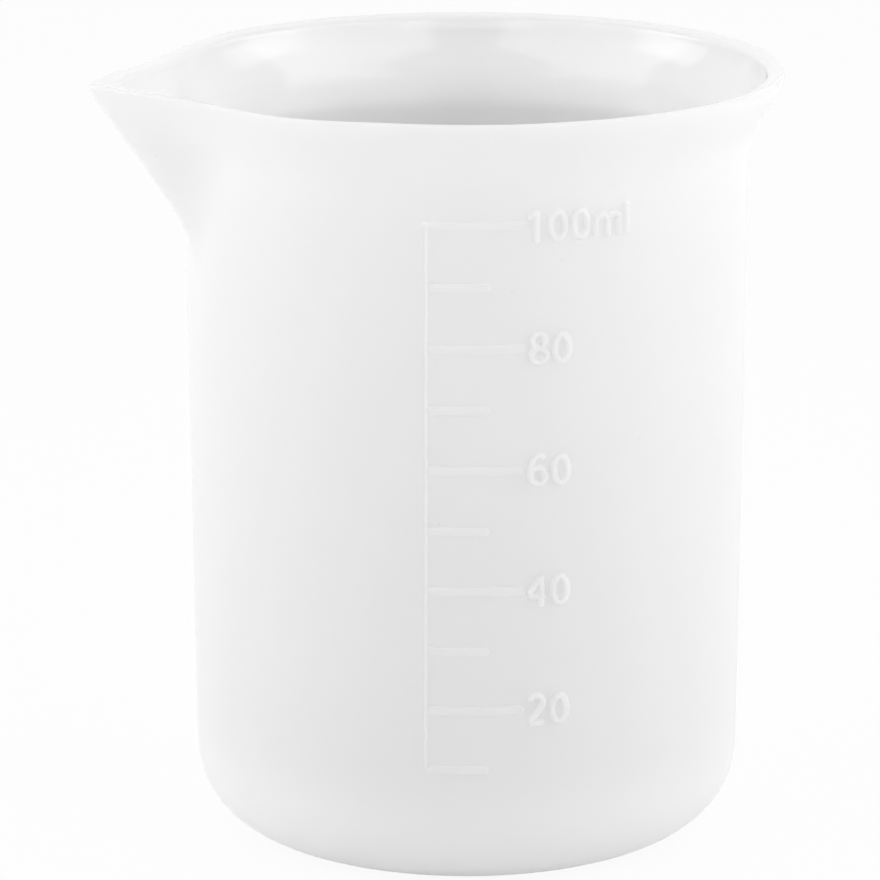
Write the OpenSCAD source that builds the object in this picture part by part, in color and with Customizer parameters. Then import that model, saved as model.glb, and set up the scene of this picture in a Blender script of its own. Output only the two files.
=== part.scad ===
// Resin mixing cup, 100 ml: one moulding in translucent silicone rubber.
// It has a flared rim, a pouring spout and a raised scale.
// The origin is the centre of the base. The spout points along -X.
// The front, where the numbers of the scale stand, is -Y.

/* [Body] */
// Height from the table to the rim
rim_h = 71.8; // [68:0.1:90]
// Outside diameter at the base, before its edge is rounded
base_d = 50.6; // [50:0.1:51.6]
// Outside diameter where the flare of the rim begins
wall_d = 52; // [51.6:0.1:54]
// Inside diameter of the straight bore
bore_d = 47.9; // [46:0.1:48.2]
// Radius of the rounded edge round the base
base_edge_r = 7.8; // [3:0.1:9]
// Thickness of the floor
floor_t = 6.3; // [5:0.1:8]
// Radius of the hollow between the floor and the bore
floor_edge_r = 5; // [2:0.1:7]

/* [Rim] */
// Outside diameter of the flared rim
rim_d = 58.2; // [56:0.1:60]
// Height of the flare on the outside
flare_h = 6.6; // [4:0.1:8]
// Height of the flare on the inside
throat_h = 7.8; // [5:0.1:9]
// Width of the lip across its top
lip_w = 1.6; // [1.2:0.05:2.2]
// Rounding of the lip's outer edge
lip_outer_r = 0.3; // [0.2:0.05:0.5]
// Rounding of the lip's inner edge
lip_inner_r = 0.5; // [0.2:0.05:0.6]
// How far the top of the lip falls towards the inside
lip_fall = 0.25; // [0:0.05:0.4]
// How far the rim dips on each side of the spout
rim_dip = 0.25; // [0:0.05:0.8]

/* [Spout] */
// Distance from the cup's axis to the sharp end of the spout
spout_reach = 36.2; // [33:0.1:38]
// Angle of the spout's keel from upright
spout_lean = 34.4; // [25:0.1:40]
// Half of the angle between the spout's sides, seen from above
spout_half_angle = 39; // [34:0.5:44]
// Thickness of the spout's sides
spout_wall = 1.6; // [1.2:0.05:2]
// Width of the soft blend between the spout and the wall
spout_blend = 2.6; // [1:0.1:3]
// How far round the cup the lip takes to flare fully, from the tip
spout_lip_angle = 26; // [18:1:34]
// How far the spout's tip stands above the rim
spout_lift = 0.3; // [0:0.05:2]
// How far round the cup the rim dips, from the tip
spout_dip_angle = 60; // [40:1:80]
// Rounding of the spout's ridge, as an angle at the axis
spout_ridge_angle = 0.5; // [0.3:0.1:2]

/* [Scale] */
// Volume at the top line, in millilitres
scale_ml = 100; // [60:20:100]
// Volume from one line to the next, in millilitres
step_ml = 10; // [5, 10, 20]
// Width of the level lines at the wall
line_w = 0.85; // [0.4:0.05:1]
// How far the level lines stand out from the wall
line_relief = 0.2; // [0.1:0.05:0.5]
// Height of each sloping flank of the level lines
line_flank = 0.15; // [0.05:0.05:0.2]
// Width of the upright line
upright_w = 0.3; // [0.2:0.05:0.8]
// How far the upright line stands out from the wall
upright_relief = 0.15; // [0.05:0.05:0.4]
// Length of the long lines
long_line = 8.7; // [6:0.1:14]
// Length of the short lines
short_line = 5.6; // [3:0.1:8]
// Angle of the scale's upright line from the front, towards the spout
scale_angle = 25.6; // [10:0.1:40]

/* [Hidden] */
$fn = 180;

base_r = base_d / 2;
wall_r = wall_d / 2;
bore_r = bore_d / 2;
rim_r = rim_d / 2;
flare_z = rim_h - lip_outer_r - flare_h;
throat_z = rim_h - lip_fall - lip_inner_r - throat_h;

// The collar is the part of the wall that holds the spout and the flare
keel_rise = (spout_reach - wall_r) / tan(spout_lean);
collar_z = rim_h - keel_rise - 2 * spout_blend;

// Points along each stretch of a section
edge_steps = 6;
wall_steps = 7;
flare_steps = 6;
lip_steps = 2;

// Sections on each side of the tip: the tip's own, crowded to it, and the others
tip_sections = 18;
tip_sector = 45;
tip_crowding = 1.6;
side_sections = 24;

// Angles from the tip between which any trace of the spout fades out
fade_from = 60;
fade_to = 88;

// Angle at which a section has no trace of the spout
plain_angle = 90;

// How deep the raised lines are rooted in the wall
line_root = 0.3;

function ease(t) = let (u = min(max(t, 0), 1)) u * u * (3 - 2 * u);
function mix(a, b, t) = a + (b - a) * t;
function steps(a, b, n) = [for (i = [0 : n]) mix(a, b, i / n)];

// The larger of two radii, with a soft change from one to the other
function blend_max(a, b, w) =
    let (h = max(w - abs(a - b), 0))
    max(a, b) + h * h / (4 * w);

// Radius of the drafted outer wall at height z, upright from the flare up
function outer_wall_r(z) = mix(base_r, wall_r, min(z / flare_z, 1));

// Radius of a straight spout side at angle a from the tip. It passes the axis at
// the distance that its end point, reach, and the half angle give, less inset.
function spout_side_r(reach, a, inset) =
    (reach * sin(spout_half_angle) - inset)
    / sin(min(spout_half_angle + a, 90 + spout_half_angle));

function keel_reach(z) = spout_reach - (rim_h - z) * tan(spout_lean);

// Angle from the tip, rounded so that the two sides meet in a soft ridge
function ridge_angle(a) = norm([a, spout_ridge_angle]);

// Share of the spout that is left at angle a: none at a right angle to the tip
function spout_share(a) = 1 - ease((a - fade_from) / (fade_to - fade_from));

// Share of the flare at angle a: the lip thins out towards the tip
function lip_share(a) = 1 - pow(1 - min(ridge_angle(a) / spout_lip_angle, 1), 3);

function outer_r(a, z) =
    let (wall = outer_wall_r(z))
    let (side = spout_side_r(keel_reach(z), ridge_angle(a), 0))
    mix(wall, blend_max(wall, side, spout_blend), spout_share(a))
    + (rim_r - wall_r) * lip_share(a) * ease((z - flare_z) / flare_h);

function inner_r(a, z) =
    let (side = spout_side_r(keel_reach(z), ridge_angle(a), spout_wall))
    mix(bore_r, blend_max(bore_r, side, spout_blend), spout_share(a))
    + (rim_r - lip_w - bore_r) * lip_share(a) * ease((z - throat_z) / throat_h);

// How far the rim stands above its plain height at angle a from the tip: up at the
// tip, down beside the spout
function rim_lift(a) =
    let (
        dip_from = spout_lip_angle / 2,
        turn = min(max(a - dip_from, 0) / (spout_dip_angle - dip_from), 1) * 180
    )
    spout_lift * (1 - ease(a / spout_lip_angle)) - rim_dip * pow(sin(turn), 2);

// How far the section at angle a is lifted at height z
function lift(a, z) = rim_lift(a) * pow(max(z - collar_z, 0) / (rim_h - collar_z), 2);

// Quarter round of radius r about a corner's centre, from angle f to angle t
function arc(centre, r, f, t, n) =
    [for (i = [0 : n]) centre + r * [cos(mix(f, t, i / n)), sin(mix(f, t, i / n))]];

// The wall's section at angle a from the tip: from the flat of the base up the
// outside, over the lip, and down the inside to the flat of the floor
function cup_section(a) =
    let (
        outer_top = flare_z + flare_h,
        inner_top = throat_z + throat_h,
        ro = outer_r(a, outer_top),
        ri = inner_r(a, inner_top),
        up = concat(steps(collar_z, flare_z, wall_steps),
                    [for (i = [1 : flare_steps]) flare_z + flare_h * i / flare_steps]),
        down = concat([for (i = [1 : flare_steps]) inner_top - throat_h * i / flare_steps],
                      [for (i = [1 : wall_steps]) mix(throat_z, collar_z, i / wall_steps)]),
        points = concat(
            arc([outer_wall_r(base_edge_r) - base_edge_r, base_edge_r], base_edge_r,
                -90, 0, edge_steps),
            [for (z = up) [outer_r(a, z), z]],
            [for (i = [1 : lip_steps])
                [ro - lip_outer_r, outer_top]
                + lip_outer_r * [cos(90 * i / lip_steps), sin(90 * i / lip_steps)]],
            arc([ri + lip_inner_r, inner_top], lip_inner_r, 90, 180, lip_steps),
            [for (z = down) [inner_r(a, z), z]],
            arc([bore_r - floor_edge_r, floor_t + floor_edge_r], floor_edge_r,
                0, -90, edge_steps))
    )
    [for (p = points) [p[0], p[1] + lift(a, p[1])]];

// Angles of the sections from the tip, on one side and then all the way round
half_angles = concat(
    [for (i = [0 : tip_sections]) tip_sector * pow(i / tip_sections, tip_crowding)],
    [for (i = [1 : side_sections]) mix(tip_sector, 180, i / side_sections)]);
section_angles = concat(
    half_angles,
    [for (i = [len(half_angles) - 2 : -1 : 1]) 360 - half_angles[i]]);

// A turned form whose section changes round the axis. Each section is a list of
// [radius, height] at an angle from the -X direction, and both its ends are closed
// by a flat disc.
module turned_loft(angles, sections) {
    n = len(sections[0]);
    m = len(sections);
    points = [for (j = [0 : m - 1]) for (p = sections[j])
        [-p[0] * cos(angles[j]), -p[0] * sin(angles[j]), p[1]]];
    sides = [for (j = [0 : m - 1]) for (i = [0 : n - 2])
        let (a = j * n + i, b = (j + 1) % m * n + i)
        each [[a, b + 1, b], [a, a + 1, b + 1]]];
    base = [[for (j = [0 : m - 1]) j * n]];
    floor_disc = [[for (j = [m - 1 : -1 : 0]) j * n + n - 1]];
    polyhedron(points, concat(base, sides, floor_disc), convexity = 8);
}

module cup_wall_and_floor() {
    turned_loft(section_angles, [for (a = section_angles) cup_section(min(a, 360 - a))]);
}

// Volume that the rounding at the floor's edge takes from a square-cornered bore,
// by the area and the centre of the corner that it fills
floor_edge_area = (1 - PI / 4) * pow(floor_edge_r, 2);
floor_edge_in = (10 - 3 * PI) / (12 - 3 * PI) * floor_edge_r;
floor_edge_ml = 2 * PI * (bore_r - floor_edge_in) * floor_edge_area / 1000;

// Height at which the cup holds a volume
function level_z(ml) = floor_t + (ml + floor_edge_ml) * 1000 / (PI * pow(bore_r, 2));

// A raised line that runs round the wall, from just before the upright line
module level_line(ml, length) {
    z = level_z(ml);
    r = outer_r(plain_angle, z);
    root_half = line_w / 2 + line_flank * line_root / line_relief;
    lead = asin(line_w / 2 / r);
    turn = length / r * 180 / PI;
    rotate([0, 0, -90 - scale_angle - lead]) rotate_extrude(angle = turn + lead)
        polygon([[r - line_root, z - root_half],
                 [r + line_relief, z - line_w / 2 + line_flank],
                 [r + line_relief, z + line_w / 2 - line_flank],
                 [r - line_root, z + root_half]]);
}

// The upright line that joins the level lines
module upright_line() {
    levels = steps(level_z(step_ml), level_z(scale_ml), flare_steps);
    radii = [for (z = levels) outer_r(plain_angle, z)];
    turn = upright_w / wall_r * 180 / PI;
    rotate([0, 0, -90 - scale_angle - turn / 2]) rotate_extrude(angle = turn)
        polygon(concat(
            [for (i = [0 : flare_steps]) [radii[i] + upright_relief, levels[i]]],
            [for (i = [flare_steps : -1 : 0]) [radii[i] - line_root, levels[i]]]));
}

module scale_lines() {
    upright_line();
    for (ml = [step_ml : step_ml : scale_ml]) {
        every_second = (ml / step_ml) % 2 == 0;
        level_line(ml, every_second ? long_line : short_line);
    }
}

module cup() {
    color([0.93, 0.94, 0.94]) union() {
        cup_wall_and_floor();
        scale_lines();
    }
}

cup();
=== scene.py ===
# %% [markdown]
# # A resin mixing cup, moulded in one piece
#
# This lesson builds a small 100 ml cup for mixing resin. The real one is a single
# moulding in milky silicone rubber. It has a flared rim, a pouring spout, and a
# raised scale that was engraved in the mould. Nothing on it moves, so the skill is in
# three things: the lip that is pulled into a spout, the soft raised figures, and a
# material that lets light creep through the wall.
#
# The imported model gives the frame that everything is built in: the origin is the
# centre of the base, the spout points along -X, and the scale faces -Y.

# %% Load the frame and the maths
from math import atan2, cos, degrees, hypot, pi, radians, sin, sqrt, tan

import bpy
from mathutils import Matrix, Vector


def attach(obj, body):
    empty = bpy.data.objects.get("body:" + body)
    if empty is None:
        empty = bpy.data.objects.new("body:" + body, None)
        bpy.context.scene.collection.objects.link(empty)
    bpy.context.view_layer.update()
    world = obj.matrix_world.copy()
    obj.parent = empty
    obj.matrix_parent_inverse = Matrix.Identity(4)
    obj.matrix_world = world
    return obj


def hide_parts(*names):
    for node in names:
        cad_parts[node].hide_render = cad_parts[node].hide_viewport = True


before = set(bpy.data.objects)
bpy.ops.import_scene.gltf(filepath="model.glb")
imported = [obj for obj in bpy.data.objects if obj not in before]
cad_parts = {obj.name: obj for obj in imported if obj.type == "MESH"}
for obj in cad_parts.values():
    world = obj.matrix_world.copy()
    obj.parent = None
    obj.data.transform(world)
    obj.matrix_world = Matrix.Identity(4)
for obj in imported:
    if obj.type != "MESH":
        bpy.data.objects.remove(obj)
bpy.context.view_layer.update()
MM = 0.001

# %% [markdown]
# ## The camera
#
# The picture was taken with a long lens, from a little above the rim, with the spout
# to the left. The place was worked out from the rim, the base and the marks of the
# scale, which are all at known sizes. The lens could be shifted sideways to put the
# cup to the right of the middle, but turning the camera a little does the same and
# leaves the lens plain for other views.

# %% Set up the camera
# The pitch is in radians, and the sensor's width in the millimetres of a lens.
CAMERA_AZIMUTH = radians(-17.8)
CAMERA_DISTANCE = 478.7 * MM
CAMERA_HEIGHT = 158.6 * MM
CAMERA_PITCH = 0.25
CAMERA_TURN = radians(0.289)
NEAR_CLIP = 10 * MM
PICTURE_WIDTH_PX = 880
LENS_PX = 5297
SENSOR_WIDTH = 36

bpy.ops.object.select_all(action="DESELECT")
bpy.ops.object.camera_add()
camera = bpy.context.object
camera.name = "camera"
camera.data.sensor_width = SENSOR_WIDTH
camera.data.lens = LENS_PX / PICTURE_WIDTH_PX * SENSOR_WIDTH
camera.data.clip_start = NEAR_CLIP
camera_place = Matrix.Translation((
    sin(CAMERA_AZIMUTH) * CAMERA_DISTANCE,
    -cos(CAMERA_AZIMUTH) * CAMERA_DISTANCE,
    CAMERA_HEIGHT,
))
aim = Matrix.Rotation(CAMERA_AZIMUTH, 4, "Z") @ Matrix.Rotation(pi / 2 - CAMERA_PITCH, 4, "X")
camera.matrix_world = camera_place @ aim @ Matrix.Rotation(CAMERA_TURN, 4, "Y")
bpy.context.scene.camera = camera
print("lens:", round(camera.data.lens, 1), "mm")

# %% [markdown]
# ## The sizes of the cup
#
# A maker of the mould would start from a drawing of half the cup: a straight bore, a
# wall that leans out a little so that the cup leaves its mould, a large rounding
# round the base, and a rim that flares out in an S curve. These are the same sizes
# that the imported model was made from.

# %% Name the sizes
RIM_H = 71.8 * MM
BASE_R = 25.3 * MM
WALL_R = 26 * MM
BORE_R = 23.95 * MM
RIM_R = 29.1 * MM
BASE_EDGE_R = 7.8 * MM
FLOOR_T = 6.3 * MM
FLOOR_EDGE_R = 5 * MM
FLARE_H = 6.6 * MM
THROAT_H = 7.8 * MM
LIP_W = 1.6 * MM
LIP_OUTER_R = 0.3 * MM
LIP_INNER_R = 0.5 * MM
LIP_FALL = 0.25 * MM
RIM_DIP = 0.25 * MM

OUTER_TOP = RIM_H - LIP_OUTER_R
INNER_TOP = RIM_H - LIP_FALL - LIP_INNER_R
FLARE_Z = OUTER_TOP - FLARE_H
THROAT_Z = INNER_TOP - THROAT_H
print("the flare starts", round(FLARE_Z / MM, 1), "mm above the base")


# %% Work out the radius of the wall at each height
def ease(t):
    """A smooth step from 0 to 1."""
    t = min(max(t, 0), 1)
    return t * t * (3 - 2 * t)


def mix(a, b, t):
    """The value a share t of the way from a to b."""
    return a + (b - a) * t


def outer_wall_r(z):
    """Radius of the leaning outer wall, upright from the flare up."""
    return mix(BASE_R, WALL_R, min(z / FLARE_Z, 1))


def plain_outer_r(z):
    """Radius of the outside with its flare, where there is no spout."""
    return outer_wall_r(z) + (RIM_R - WALL_R) * ease((z - FLARE_Z) / FLARE_H)


def plain_inner_r(z):
    """Radius of the inside with its flare, where there is no spout."""
    return BORE_R + (RIM_R - LIP_W - BORE_R) * ease((z - THROAT_Z) / THROAT_H)


print("wall thickness:", round((WALL_R - BORE_R) / MM, 2), "mm at the flare")

# %% [markdown]
# ## Turning the cup
#
# A cup like this is a turned form, as on a potter's wheel. It could be made from a
# cylinder with many loop cuts, but its rounded base, its hollow and its lip are
# easier to draw as one section. So a single point is extruded along the section,
# from the middle of the base, up the outside, over the lip and down to the middle of
# the floor, and the line is spun round the axis.

# %% Draw the section of the wall
WALL_RINGS = 40
FLARE_RINGS = 14
BASE_RINGS = 14
LIP_RINGS = 5


def arc(centre_r, centre_z, radius, start, end, count):
    """Points on an arc, angles in degrees from the outward direction."""
    angles = [radians(mix(start, end, i / count)) for i in range(count + 1)]
    return [(centre_r + radius * cos(a), centre_z + radius * sin(a)) for a in angles]


def rings(low, high, count):
    """Heights from just after the first one to the last one, evenly spaced."""
    return [mix(low, high, i / count) for i in range(1, count + 1)]


edge_centre_r = outer_wall_r(BASE_EDGE_R) - BASE_EDGE_R
floor_edge_z = FLOOR_T + FLOOR_EDGE_R
outside = [(0, 0), (edge_centre_r / 2, 0)]
outside += arc(edge_centre_r, BASE_EDGE_R, BASE_EDGE_R, -90, 0, BASE_RINGS)
outside += [(plain_outer_r(z), z) for z in rings(BASE_EDGE_R, FLARE_Z, WALL_RINGS)]
outside += [(plain_outer_r(z), z) for z in rings(FLARE_Z, OUTER_TOP, FLARE_RINGS)]
outside += arc(RIM_R - LIP_OUTER_R, OUTER_TOP, LIP_OUTER_R, 0, 90, LIP_RINGS)[1:]
inside = arc(RIM_R - LIP_W + LIP_INNER_R, INNER_TOP, LIP_INNER_R, 90, 180, LIP_RINGS)
inside += [(plain_inner_r(z), z) for z in rings(INNER_TOP, THROAT_Z, FLARE_RINGS)]
inside += [(BORE_R, z) for z in rings(THROAT_Z, floor_edge_z, WALL_RINGS)]
inside += arc(BORE_R - FLOOR_EDGE_R, floor_edge_z, FLOOR_EDGE_R, 0, -90, BASE_RINGS)[1:]
inside += [((BORE_R - FLOOR_EDGE_R) / 2, FLOOR_T), (0, FLOOR_T)]
section = outside + inside
print("section:", len(section), "points")

# %% Extrude one point along the section and spin it
COLUMNS = 256
SAME_PLACE = 0.001 * MM


def draw_line(name, points, closed=False):
    """Extrudes one point from place to place, and leaves the line in edit mode."""
    bpy.ops.object.select_all(action="DESELECT")
    bpy.ops.mesh.primitive_plane_add(size=MM, location=points[0])
    drawn = bpy.context.object
    drawn.name = name
    bpy.ops.object.transform_apply()
    bpy.ops.object.mode_set(mode="EDIT")
    bpy.ops.mesh.merge(type="CENTER")
    for here, there in zip(points, points[1:]):
        step = Vector(there) - Vector(here)
        bpy.ops.mesh.extrude_region_move(TRANSFORM_OT_translate={"value": step})
    bpy.ops.mesh.select_all(action="SELECT")
    if closed:
        bpy.ops.object.mode_set(mode="OBJECT")
        for point in drawn.data.vertices:
            point.select = point.index in (0, len(points) - 1)
        bpy.ops.object.mode_set(mode="EDIT")
        bpy.ops.mesh.edge_face_add()
        bpy.ops.mesh.select_all(action="SELECT")
    return drawn


cup = draw_line("moulded_cup", [(-r, 0, z) for r, z in section])
bpy.ops.mesh.spin(steps=COLUMNS, angle=2 * pi, center=(0, 0, 0), axis=(0, 0, 1))
bpy.ops.mesh.select_all(action="SELECT")
bpy.ops.mesh.remove_doubles(threshold=SAME_PLACE)
bpy.ops.mesh.normals_make_consistent(inside=False)
bpy.ops.object.mode_set(mode="OBJECT")
print("turned cup:", len(cup.data.vertices), "points,", len(cup.data.polygons), "faces")

# %% [markdown]
# ## Pulling the spout
#
# The maker of the pattern pulls the wall out to a sharp V and blends it softly into
# the round wall. With a mouse this is proportional editing, but a pull by hand can't
# be repeated. So each point of the turned cup moves outwards by a formula: the two
# sides of the V are straight lines seen from above, and at each height the wall is
# the larger of the V and the circle, with a soft change from one to the other.
#
# The outside and the inside are pulled by the same rule, and the V inside lies one
# wall thickness in. Towards the tip the columns are first crowded together, because
# the ridge there is sharp.

# %% Name the sizes of the spout
SPOUT_REACH = 36.2 * MM
SPOUT_LEAN = radians(34.4)
SPOUT_HALF_ANGLE = radians(39)
SPOUT_WALL = 1.6 * MM
SPOUT_BLEND = 2.6 * MM
SPOUT_LIP_ANGLE = radians(26)
SPOUT_LIFT = 0.3 * MM
SPOUT_DIP_ANGLE = radians(60)
SPOUT_RIDGE_ANGLE = radians(0.5)
FLARE_RETURN = 3
FADE_FROM = radians(60)
FADE_TO = radians(88)
COLLAR_Z = RIM_H - (SPOUT_REACH - WALL_R) / tan(SPOUT_LEAN) - 2 * SPOUT_BLEND
print("the pull starts", round(COLLAR_Z / MM, 1), "mm above the base")


# %% Work out the pull at each angle and height
def blend_max(a, b):
    """The larger of two radii, with a soft change from one to the other."""
    near = max(SPOUT_BLEND - abs(a - b), 0)
    return max(a, b) + near * near / (4 * SPOUT_BLEND)


def side_r(z, turn, inset):
    """Radius of a straight side of the V at an angle from the tip."""
    reach = SPOUT_REACH - (RIM_H - z) * tan(SPOUT_LEAN)
    facing = min(SPOUT_HALF_ANGLE + turn, pi / 2 + SPOUT_HALF_ANGLE)
    return (reach * sin(SPOUT_HALF_ANGLE) - inset) / sin(facing)


def spout_pull(turn, z, outer):
    """How far the spout moves a point outwards."""
    soft_turn = hypot(turn, SPOUT_RIDGE_ANGLE)
    z = min(z, OUTER_TOP if outer else INNER_TOP)
    wall = outer_wall_r(z) if outer else BORE_R
    side = side_r(z, soft_turn, 0 if outer else SPOUT_WALL)
    share = 1 - ease((turn - FADE_FROM) / (FADE_TO - FADE_FROM))
    flare = (plain_outer_r(z) if outer else plain_inner_r(z)) - wall
    flare_lost = (1 - min(soft_turn / SPOUT_LIP_ANGLE, 1)) ** FLARE_RETURN
    return (blend_max(wall, side) - wall) * share - flare * flare_lost


def rim_lift(turn, z):
    """How far the rim stands up at the tip, and dips beside it."""
    dip_from = SPOUT_LIP_ANGLE / 2
    dip = min(max(turn - dip_from, 0) / (SPOUT_DIP_ANGLE - dip_from), 1)
    lift = SPOUT_LIFT * (1 - ease(turn / SPOUT_LIP_ANGLE)) - RIM_DIP * sin(pi * dip) ** 2
    return lift * (max(z - COLLAR_Z, 0) / (RIM_H - COLLAR_Z)) ** 2


print("the tip leans out by", round(degrees(SPOUT_LEAN), 1), "degrees")

# %% Move the points
# The columns are crowded towards the tip, and all above the collar is pulled out.
CROWDING = 0.8

for point in cup.data.vertices:
    x, y, z = point.co
    r = hypot(x, y)
    even = abs(atan2(y, -x)) / pi
    turn = pi * mix(even, even ** 2, CROWDING)
    outer = r > (plain_outer_r(z) + plain_inner_r(z)) / 2
    if z > COLLAR_Z:
        r += spout_pull(turn, z, outer)
        z += rim_lift(turn, z)
    side = 1 if y > 0 else -1
    point.co = (-r * cos(turn), side * r * sin(turn), z)
cup.data.update()
reach = max(-point.co.x for point in cup.data.vertices)
print("spout reaches", round(reach / MM, 2), "mm from the axis")

# %% [markdown]
# ## The cutter that engraved the scale
#
# The lines and figures stand out from the wall because they were engraved in the
# mould, with a small cutter that follows one line for each stroke. That is why every
# stroke has the same width, a flat top, sloping flanks and round ends. A font would
# give the figures square ends and another shape, so here each stroke is a drawn line
# too: it becomes a curve, which carries the cutter's outline along it.

# %% Name the sizes of the strokes
FIGURE_H = 3.25 * MM
FIGURE_STROKE = 0.65 * MM
FIGURE_RELIEF = 0.34 * MM
LEVEL_STROKE = 0.85 * MM
UPRIGHT_STROKE = 0.3 * MM
LINE_RELIEF = 0.11 * MM
UPRIGHT_RELIEF = 0.15 * MM
ROOT = 0.35 * MM

print("a figure's stroke is", round(FIGURE_STROKE / MM, 2), "mm wide and stands",
      round(FIGURE_RELIEF / MM, 2), "mm out")

# %% Draw the cutter's outline
# The flank goes in and up by these shares, from the wall to the flat top.
FLANK_STEPS = ((0, 0), (0.55, 0.62), (0.85, 0.9), (1.3, 1))
FLANK_OF_RELIEF = 0.7
FLANK_OF_HALF = 0.6


def cutter(name, width, relief):
    """The outline of the groove that the cutter leaves, with a root in the wall."""
    half = width / 2
    flank = min(FLANK_OF_RELIEF * relief, FLANK_OF_HALF * half)
    right = [(half + flank * ROOT / relief, -ROOT)]
    right += [(half - across * flank, up * relief) for across, up in FLANK_STEPS]
    left = [(-x, y) for x, y in reversed(right)]
    outline = draw_line(name, [(x, y, 0) for x, y in right + left], closed=True)
    bpy.ops.object.mode_set(mode="OBJECT")
    bpy.ops.object.convert(target="CURVE")
    return outline


figure_cutter = cutter("figure_cutter", FIGURE_STROKE, FIGURE_RELIEF)
level_cutter = cutter("level_cutter", LEVEL_STROKE, LINE_RELIEF)
upright_cutter = cutter("upright_cutter", UPRIGHT_STROKE, UPRIGHT_RELIEF)
print("cutter outlines:", figure_cutter.name, level_cutter.name, upright_cutter.name)

# %% Sweep the cutter along a stroke
# An end narrows as a circle does, but not to nothing, so that its points stay apart.
FIGURE_ROW = 0.15 * MM
END_ANGLES = (0, 25, 45, 65, 90)
BLUNT_END = 0.03


def stroke(points, outline, width, closed=False):
    """One raised stroke, flat: x runs round the wall, y up it and z out of it."""
    travel = [0]
    for here, there in zip(points, points[1:]):
        travel.append(travel[-1] + (Vector(there) - Vector(here)).length)
    drawn = draw_line("stroke", [(x, y, 0) for x, y in points], closed)
    bpy.ops.object.mode_set(mode="OBJECT")
    bpy.ops.object.convert(target="CURVE")
    curve = drawn.data
    curve.dimensions = "2D"
    curve.fill_mode = "NONE"
    curve.bevel_mode = "OBJECT"
    curve.bevel_object = outline
    curve.use_fill_caps = True
    if not closed:
        for point, gone in zip(curve.splines[0].points, travel):
            from_end = min(gone, travel[-1] - gone) / (width / 2)
            point.radius = sqrt(max(1 - (1 - min(from_end, 1)) ** 2, BLUNT_END))
    bpy.ops.object.convert(target="MESH")
    bpy.ops.object.mode_set(mode="EDIT")
    bpy.ops.mesh.select_all(action="SELECT")
    bpy.ops.mesh.remove_doubles(threshold=SAME_PLACE)
    bpy.ops.mesh.normals_make_consistent(inside=False)
    bpy.ops.object.mode_set(mode="OBJECT")
    return drawn


def straight(x0, y0, x1, y1, width, row):
    """Points from one place to another, closer together where the ends are round."""
    length = hypot(x1 - x0, y1 - y0)
    end = [width / 2 * (1 - cos(radians(angle))) for angle in END_ANGLES]
    count = max(int((length - width) / row), 1)
    middle = [mix(width / 2, length - width / 2, i / count) for i in range(1, count)]
    stops = end + middle + [length - stop for stop in reversed(end)]
    return [(mix(x0, x1, stop / length), mix(y0, y1, stop / length)) for stop in stops]


print("a round end is drawn with", len(END_ANGLES), "points")

# %% [markdown]
# ## Drawing the figures
#
# Each figure is one to three strokes: a nought is a closed oval, a four is three
# straight lines. They are drawn with a figure's height as 1, along the middle of the
# stroke, so that they can be checked against any plain sans-serif alphabet.

# %% Draw the strokes of each figure
OVAL_POINTS = 36
END_SKIPPED = 3
ARCH_POINTS = 14
ARCH_START = 175
ARCH_HALF_WIDTH = 0.1825
ARCH_FOOT = 0.56
ARCH_RISE = 0.09
LEG_FOOT = 0.02


def oval(x, y, rx, ry, start=0, end=360, count=OVAL_POINTS):
    """Points along an oval, anticlockwise from the right, without the last if closed."""
    angles = [radians(mix(start, end, i / count)) for i in range(count + 1)]
    points = [(x + rx * cos(a), y + ry * sin(a)) for a in angles]
    return points[:-1] if abs(end - start) == 360 else points


def bar(x0, y0, x1, y1):
    """A straight stroke of a figure."""
    return straight(x0, y0, x1, y1, FIGURE_STROKE / FIGURE_H, FIGURE_ROW / FIGURE_H)


def bar_on(x0, y0, x1, y1):
    """A straight stroke that goes on from a curve, so its first end isn't round."""
    return bar(x0, y0, x1, y1)[END_SKIPPED:]


def arch(x):
    """One of the two arches of the m, with the leg on its right."""
    leg_x = x + ARCH_HALF_WIDTH
    curve = oval(x, ARCH_FOOT, ARCH_HALF_WIDTH, ARCH_RISE, ARCH_START, 0, ARCH_POINTS)
    return curve + bar_on(leg_x, ARCH_FOOT, leg_x, LEG_FOOT)


STROKES = {
    "0": [oval(0.31, 0.47, 0.205, 0.37)],
    "1": [bar(0.37, 0.9, 0.37, -0.02), bar(0.38, 0.89, 0.12, 0.67)],
    "2": [oval(0.3, 0.68, 0.19, 0.22, 170, -35) + bar_on(0.44, 0.53, 0.1, 0.12),
          bar(0.08, 0.1, 0.54, 0.1)],
    "4": [bar(0.41, 0.9, 0.07, 0.34), bar(0.06, 0.32, 0.56, 0.32), bar(0.42, 0.93, 0.42, 0)],
    "6": [oval(0.31, 0.33, 0.205, 0.23), oval(0.33, 0.36, 0.225, 0.54, 185, 50)],
    "8": [oval(0.31, 0.7, 0.17, 0.2), oval(0.31, 0.3, 0.205, 0.2)],
    "m": [bar(0.1, LEG_FOOT, 0.1, 0.67), arch(0.2825), arch(0.6475)],
    "l": [bar(0.1, 0.98, 0.1, 0.01)],
}
print("figures drawn:", " ".join(STROKES))

# %% Place the figures of a number
FIGURE_ADVANCE = 0.655
WIDE_ADVANCE = {"m": 0.975}
FIGURE_MIDDLE = 0.5
LOOP_GAP = 0.1
DEPTH_CHANGE = 0.01


def is_loop(points):
    """Whether a stroke of a figure ends where it starts."""
    return (Vector(points[0]) - Vector(points[-1])).length < LOOP_GAP


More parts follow.
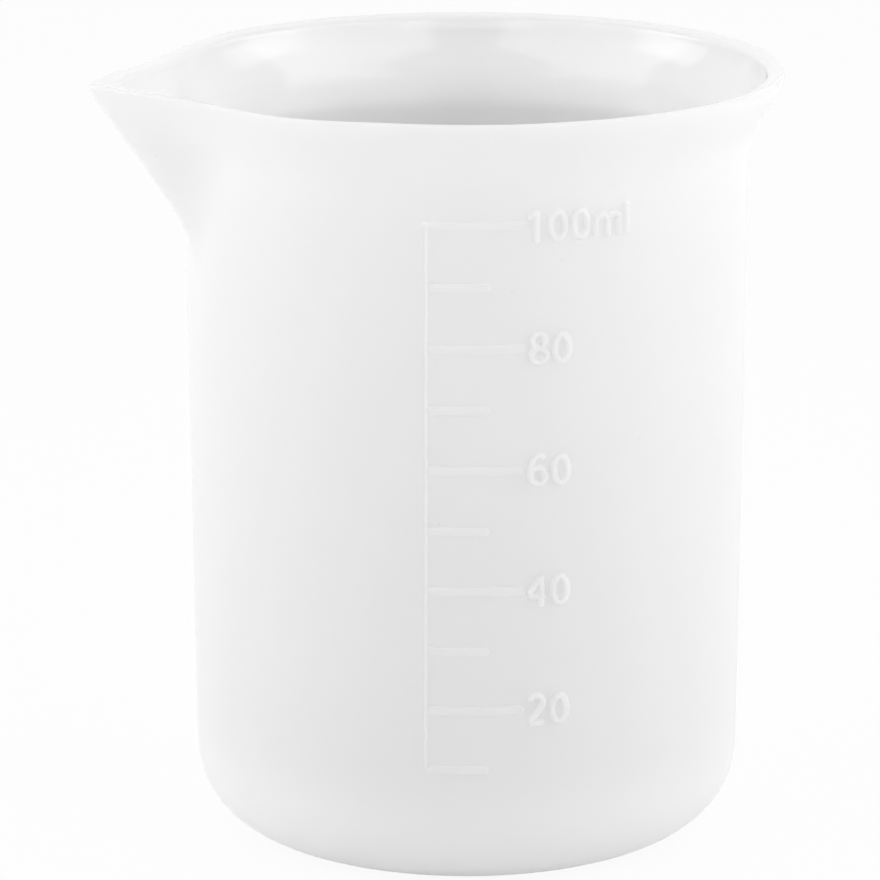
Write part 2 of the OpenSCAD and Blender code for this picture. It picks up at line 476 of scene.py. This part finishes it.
def figures(text, x, y):
    """The strokes of a number. Each is cut a little deeper than the one before, so
    that no two flat tops lie in one plane when they are joined."""
    made = []
    for sign in text:
        for points in STROKES[sign]:
            placed = [(x + px * FIGURE_H, y + (py - FIGURE_MIDDLE) * FIGURE_H)
                      for px, py in points]
            made.append(stroke(placed, figure_cutter, FIGURE_STROKE, is_loop(points)))
            for point in made[-1].data.vertices:
                point.co.z *= 1 + DEPTH_CHANGE * len(made)
        x += WIDE_ADVANCE.get(sign, FIGURE_ADVANCE) * FIGURE_H
    return made


print("a figure takes", round(FIGURE_ADVANCE * FIGURE_H / MM, 2), "mm of the line")

# %% [markdown]
# ## Laying out the scale
#
# The cup is straight inside, so each 10 ml adds the same height. The first mark also
# carries the volume that the rounding at the floor's edge takes away. The lines start
# at an upright line to the left of the middle. Every second one is long and leads to
# its number.

# %% Work out the height of each level
SCALE_ML = 100
STEP_ML = 10
NUMBER_STEP_ML = 20
ML = 1e-6

# The corner that the rounding fills: its area, and its middle's distance from the wall.
corner_area = (1 - pi / 4) * FLOOR_EDGE_R ** 2
corner_in = (10 - 3 * pi) / (12 - 3 * pi) * FLOOR_EDGE_R
corner_volume = 2 * pi * (BORE_R - corner_in) * corner_area


def level_z(ml):
    """The height at which the cup holds this volume."""
    return FLOOR_T + (ml * ML + corner_volume) / (pi * BORE_R ** 2)


lowest, highest = level_z(STEP_ML), level_z(SCALE_ML)
print("levels from", round(lowest / MM, 2), "to", round(highest / MM, 2), "mm")

# %% Cut the lines and the numbers
SCALE_LEFT = -11.6 * MM
LONG_LINE = 8.9 * MM
SHORT_LINE = 5.7 * MM
TOP_LINE_LEAD = 0.45 * MM
NUMBER_LEFT = -2.62 * MM
TOP_NUMBER_LEFT = -3.09 * MM
UPRIGHT_ROW = 2 * MM
LEVEL_ROW = 0.5 * MM

upright = straight(SCALE_LEFT, lowest, SCALE_LEFT, highest, UPRIGHT_STROKE, UPRIGHT_ROW)
strokes = [stroke(upright, upright_cutter, UPRIGHT_STROKE)]
for ml in range(STEP_ML, SCALE_ML + 1, STEP_ML):
    z = level_z(ml)
    numbered = ml % NUMBER_STEP_ML == 0
    left = SCALE_LEFT - (TOP_LINE_LEAD if ml == SCALE_ML else 0)
    right = SCALE_LEFT + (LONG_LINE if numbered else SHORT_LINE)
    level = straight(left, z, right, z, LEVEL_STROKE, LEVEL_ROW)
    strokes.append(stroke(level, level_cutter, LEVEL_STROKE))
    if ml == SCALE_ML:
        strokes += figures(f"{ml}ml", TOP_NUMBER_LEFT, z)
    elif numbered:
        strokes += figures(str(ml), NUMBER_LEFT, z)
print(len(strokes), "strokes")

# %% Wrap the strokes round the wall
for piece in strokes:
    for point in piece.data.vertices:
        across, z, out = point.co
        r = outer_wall_r(z)
        turn = across / r
        point.co = ((r + out) * sin(turn), -(r + out) * cos(turn), z)
print("the scale starts at", round(degrees(SCALE_LEFT / WALL_R), 1), "degrees from the front")

# %% Join the strokes to each other and to the cup
SMOOTH_ANGLE = radians(35)


def unite(whole, piece):
    """Adds a closed piece to a closed whole, as one skin."""
    bpy.ops.object.select_all(action="DESELECT")
    whole.select_set(True)
    bpy.context.view_layer.objects.active = whole
    union = whole.modifiers.new("union", "BOOLEAN")
    union.operation = "UNION"
    union.solver = "MANIFOLD"
    union.object = piece
    bpy.ops.object.modifier_apply(modifier=union.name)
    bpy.data.objects.remove(piece)


scale = strokes[0]
for piece in strokes[1:]:
    unite(scale, piece)
scale_faces = len(scale.data.polygons)
unite(cup, scale)
for outline in (figure_cutter, level_cutter, upright_cutter):
    bpy.data.objects.remove(outline)
bpy.ops.object.shade_smooth_by_angle(angle=SMOOTH_ANGLE)
print("scale:", scale_faces, "faces, cup with its scale:", len(cup.data.polygons), "faces")

# %% [markdown]
# ## Writing shader maths as Python
#
# A material is a small program of nodes. Long chains of Math nodes are hard to read,
# so this wrapper lets plain Python operators add them. Any other node comes from one
# method, which sets the node's own settings first and then its sockets.

# %% The wrapper
class Value:
    """A number that a node gives, which Python's operators work on."""

    def __init__(self, graph, socket):
        self.graph = graph
        self.socket = socket

    def maths(self, operation, *numbers):
        """Adds a Math node."""
        settings = {"operation": operation}
        return self.graph.node("ShaderNodeMath", settings, dict(enumerate(numbers)))

    def __add__(self, other):
        return self.maths("ADD", self, other)

    def __sub__(self, other):
        return self.maths("SUBTRACT", self, other)

    def __rsub__(self, other):
        return self.maths("SUBTRACT", other, self)

    def __mul__(self, other):
        return self.maths("MULTIPLY", self, other)

    __radd__ = __add__
    __rmul__ = __mul__


class Graph:
    """The nodes of a material or of the world."""

    def __init__(self, owner):
        owner.use_nodes = True
        self.owner = owner
        self.tree = owner.node_tree
        self.tree.nodes.clear()

    def node(self, kind, settings=None, sockets=None, output=0):
        """Adds a node, and gives the output that is asked for."""
        made = self.tree.nodes.new(kind)
        for name, value in (settings or {}).items():
            setattr(made, name, value)
        for name, value in (sockets or {}).items():
            if isinstance(value, Value):
                self.tree.links.new(value.socket, made.inputs[name])
            else:
                made.inputs[name].default_value = value
        return Value(self, made.outputs[output]) if made.outputs else made


print("a mask can now be written as 1 - a * b")

# %% [markdown]
# ## Milky silicone
#
# Silicone rubber for a cup is clear with a little white in it. Light goes in,
# scatters, and comes out a few millimetres away, so thin edges glow and fine relief
# looks soft. Mixing in a transparent shader would show the far wall sharply, which
# the real cup doesn't. Subsurface scattering is the right tool.
#
# The outside is satin. The mould was polished inside, where resin must let go, so a
# clear coat lies over the rubber there. It is full on the flare, where it shows the
# lamps as soft patches, and fades to a trace in the bore, which looks plainer on the
# real cup. A few specks of dust and tiny bubbles sit in the skin.

# %% Name the silicone's colours and finish
SILICONE = (0.885, 0.885, 0.885, 1)
SILICONE_SHADE = (0.865, 0.865, 0.865, 1)
SILICONE_IOR = 1.41
SCATTER = 2.5 * MM
EVEN_SCATTER = (1.0, 1.0, 1.0)
ROUGHNESS = 0.34
ROUGHNESS_SWING = 0.1
COAT_ROUGHNESS = 0.09
COAT_IOR = 1.7
BORE_COAT = 0.2
COAT_FADE_LOW = 65.8 * MM
COAT_FADE_HIGH = 67 * MM
print("light scatters over about", round(SCATTER / MM, 1), "mm")

# %% Find the inside of the cup
# The outside of the wall looks straight away from the axis, which counts as 1, and
# the inside straight towards it, which counts as -1. The coat comes in between these.
NO_COAT_ABOVE = 0.3
FULL_COAT_BELOW = -0.1
FLATTEN = (1, 1, 0)

graph = Graph(bpy.data.materials.new("milky_silicone"))


def soft_step(value, low, high, start=0.0):
    """Goes softly from its start, at the low value, to 1, at the high one."""
    return graph.node("ShaderNodeMapRange", {"interpolation_type": "SMOOTHSTEP"}, {
        "Value": value, "From Min": low, "From Max": high, "To Min": start})


def vector_maths(nodes, operation, *vectors, output=0):
    """One step of maths on vectors."""
    settings = {"operation": operation}
    return nodes.node("ShaderNodeVectorMath", settings, dict(enumerate(vectors)), output)


place = graph.node("ShaderNodeTexCoord", output="Object")
facing = graph.node("ShaderNodeTexCoord", output="Normal")
from_axis = vector_maths(graph, "MULTIPLY", place, FLATTEN)
straight_out = vector_maths(graph, "NORMALIZE", from_axis)
outward = vector_maths(graph, "DOT_PRODUCT", facing, straight_out, output="Value")
height = graph.node("ShaderNodeSeparateXYZ", sockets={"Vector": place}, output="Z")
inner_face = soft_step(outward, NO_COAT_ABOVE, FULL_COAT_BELOW)
coat = inner_face * soft_step(height, COAT_FADE_LOW, COAT_FADE_HIGH, BORE_COAT)
print("nodes for the coat:", len(graph.tree.nodes))

# %% Add cloudiness, grain and specks
CLOUDS_PER_M = 60.0
CLOUD_DETAIL = 3.0
GRAINS_PER_M = 900.0
GRAIN_DETAIL = 2.0
GRAIN_SHARE = 0.2
NOISE_MIDDLE = 0.5
SPECK = (0.79, 0.79, 0.79, 1)
SPECK_GAP = 4 * MM
SPECK_R = 0.12 * MM
SPECK_CORE_R = 0.4 * SPECK_R
BUMP_STRENGTH = 0.5
BUMP_HEIGHT = 0.03 * MM


def blend(factor, a, b):
    """One colour where the factor is 0, and another where it is 1."""
    return graph.node("ShaderNodeMix", {"data_type": "RGBA"}, {
        "Factor": factor, "A": a, "B": b}, "Result")


cloud = graph.node("ShaderNodeTexNoise", sockets={
    "Vector": place, "Scale": CLOUDS_PER_M, "Detail": CLOUD_DETAIL})
grain = graph.node("ShaderNodeTexNoise", sockets={
    "Vector": place, "Scale": GRAINS_PER_M, "Detail": GRAIN_DETAIL})
scattered = graph.node("ShaderNodeTexVoronoi", sockets={
    "Vector": place, "Scale": 1 / SPECK_GAP}, output="Distance")
speck = soft_step(scattered, SPECK_R / SPECK_GAP, SPECK_CORE_R / SPECK_GAP)
colour = blend(speck, blend(cloud, SILICONE, SILICONE_SHADE), SPECK)
bump = graph.node("ShaderNodeBump", sockets={
    "Height": grain * GRAIN_SHARE + speck, "Strength": BUMP_STRENGTH, "Distance": BUMP_HEIGHT})
print("specks:", round(2 * SPECK_R / MM, 2), "mm wide, about", SPECK_GAP / MM, "mm apart")

# %% Put the silicone together
shader = graph.node("ShaderNodeBsdfPrincipled", sockets={
    "Base Color": colour,
    "Roughness": ROUGHNESS + (cloud - NOISE_MIDDLE) * ROUGHNESS_SWING,
    "IOR": SILICONE_IOR,
    "Subsurface Weight": 1.0,
    "Subsurface Radius": EVEN_SCATTER,
    "Subsurface Scale": SCATTER,
    "Coat Weight": coat,
    "Coat Roughness": COAT_ROUGHNESS,
    "Coat IOR": COAT_IOR,
    "Normal": bump,
})
graph.node("ShaderNodeOutputMaterial", sockets={"Surface": shader})
cup.data.materials.clear()
cup.data.materials.append(graph.owner)
print("material:", graph.owner.name, "with", len(graph.tree.nodes), "nodes")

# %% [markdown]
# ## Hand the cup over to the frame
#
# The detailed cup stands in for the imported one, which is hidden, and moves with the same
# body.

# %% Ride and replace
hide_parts("cup")
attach(cup, "root")
print("the cup rides on root")

# %% [markdown]
# ## Floor and room
#
# The real cup stands on white, in front of white. A pale cup would be lost there if
# the light came evenly from all round. So the room that lights the cup is bright at
# the sides, dimmer above and dark on the camera's side, and the middle of the wall
# comes out as its darkest part.
#
# The white that is seen would wash the cup out if it also lit it. Light Path tells the
# two apart: a ray from the camera, or one that left the cup as gloss, meets white, and
# every other ray meets the room. The floor does the same, but keeps a little of its
# own shading, which is the cup's soft shadow.

# %% A floor that keeps a soft shadow
FLOOR_SIZE = 6
FLOOR_COLOUR = (0.96, 0.96, 0.96, 1)
BACKDROP_SHARE = 0.92
WHITE_STRENGTH = 1.0


def seen_rays(nodes):
    """1 for what is seen directly, in gloss or through glass, 0 for what lights the cup."""
    rays = ("Is Camera Ray", "Is Glossy Ray", "Is Transmission Ray")
    return sum(nodes.node("ShaderNodeLightPath", output=name) for name in rays)


floor_graph = Graph(bpy.data.materials.new("pale_floor"))
matt = floor_graph.node("ShaderNodeBsdfDiffuse", sockets={"Color": FLOOR_COLOUR})
bright = floor_graph.node("ShaderNodeEmission", sockets={"Strength": WHITE_STRENGTH})
lit_share = seen_rays(floor_graph) * BACKDROP_SHARE
both = floor_graph.node("ShaderNodeMixShader", sockets={0: lit_share, 1: matt, 2: bright})
floor_graph.node("ShaderNodeOutputMaterial", sockets={"Surface": both})

bpy.ops.object.select_all(action="DESELECT")
bpy.ops.mesh.primitive_plane_add(size=FLOOR_SIZE)
floor = bpy.context.object
floor.name = "floor"
floor.data.materials.append(floor_graph.owner)
print("floor:", FLOOR_SIZE, "m wide")

# %% A room that is dark behind the camera
ROOM_SIDES = 1.05
ROOM_TOP = 0.72
ROOM_FRONT = 0.02
UP = (0, 0, 1)
TO_CAMERA = (sin(CAMERA_AZIMUTH), -cos(CAMERA_AZIMUTH), 0)
WHITE = (1, 1, 1, 1)

world_graph = Graph(bpy.data.worlds.new("room"))
sky = world_graph.node("ShaderNodeTexCoord", output="Generated")
level = ROOM_SIDES
for towards, brightness in ((UP, ROOM_TOP), (TO_CAMERA, ROOM_FRONT)):
    share = vector_maths(world_graph, "DOT_PRODUCT", sky, towards, output="Value")
    level = level + share.maths("MAXIMUM", share, 0) * (brightness - ROOM_SIDES)
room = world_graph.node("ShaderNodeBackground", sockets={"Color": level})
white = world_graph.node("ShaderNodeBackground", sockets={"Color": WHITE})
view = world_graph.node("ShaderNodeMixShader", sockets={
    0: seen_rays(world_graph), 1: room, 2: white})
world_graph.node("ShaderNodeOutputWorld", sockets={"Surface": view})
bpy.context.scene.world = world_graph.owner
print("room:", ROOM_SIDES, "at the sides,", ROOM_TOP, "above,", ROOM_FRONT, "in front")

# %% [markdown]
# ## Soft boxes
#
# The hollow of the rim on the real cup holds two soft patches, one on each side, which
# are the mirror images of large lamps. A painted patch would stay where it is when the
# view changes, so here they are real lamps. Each large box stands upright, in a plane
# half a metre from the cup and turned 45 degrees from the camera. The hollow acts as a
# concave mirror, so the left patch comes from the right box.
#
# A smaller box straight out on each side brightens the edge of the wall, and a low one
# at the camera's side lifts the base.

# %% Place the lamps
def soft_box(name, azimuth, facing, distance, middle, width, height, power):
    """An upright lamp, in metres and watts. Angles in degrees, to the right from the
    camera's side: where it stands, and which way it is turned."""
    turn = CAMERA_AZIMUTH + radians(azimuth)
    bpy.ops.object.select_all(action="DESELECT")
    bpy.ops.object.light_add(type="AREA", location=(
        distance * sin(turn), -distance * cos(turn), middle))
    lamp = bpy.context.object
    lamp.name = name
    lamp.data.shape = "RECTANGLE"
    lamp.data.size = width
    lamp.data.size_y = height
    lamp.data.energy = power
    lamp.rotation_euler = (pi / 2, 0, CAMERA_AZIMUTH + radians(facing))
    return lamp


LARGE_BOX = {"distance": 0.533, "middle": 0.415, "width": 0.95, "height": 0.71}
SIDE_BOX = {"distance": 0.9, "middle": 0.3, "width": 0.6, "height": 0.6}
LOW_BOX = {"distance": 0.9, "middle": 0.12, "width": 0.9, "height": 0.24}

lamps = [
    soft_box("left_soft_box", azimuth=-65.3, facing=-45, power=1.7, **LARGE_BOX),
    soft_box("right_soft_box", azimuth=65.3, facing=45, power=1.9, **LARGE_BOX),
    soft_box("left_side_box", azimuth=-92, facing=-92, power=0.95, **SIDE_BOX),
    soft_box("right_side_box", azimuth=92, facing=92, power=0.8, **SIDE_BOX),
    soft_box("low_front_box", azimuth=0, facing=0, power=0.5, **LOW_BOX),
]
bpy.context.scene.view_settings.view_transform = "Standard"
print("lamps:", [lamp.name for lamp in lamps])
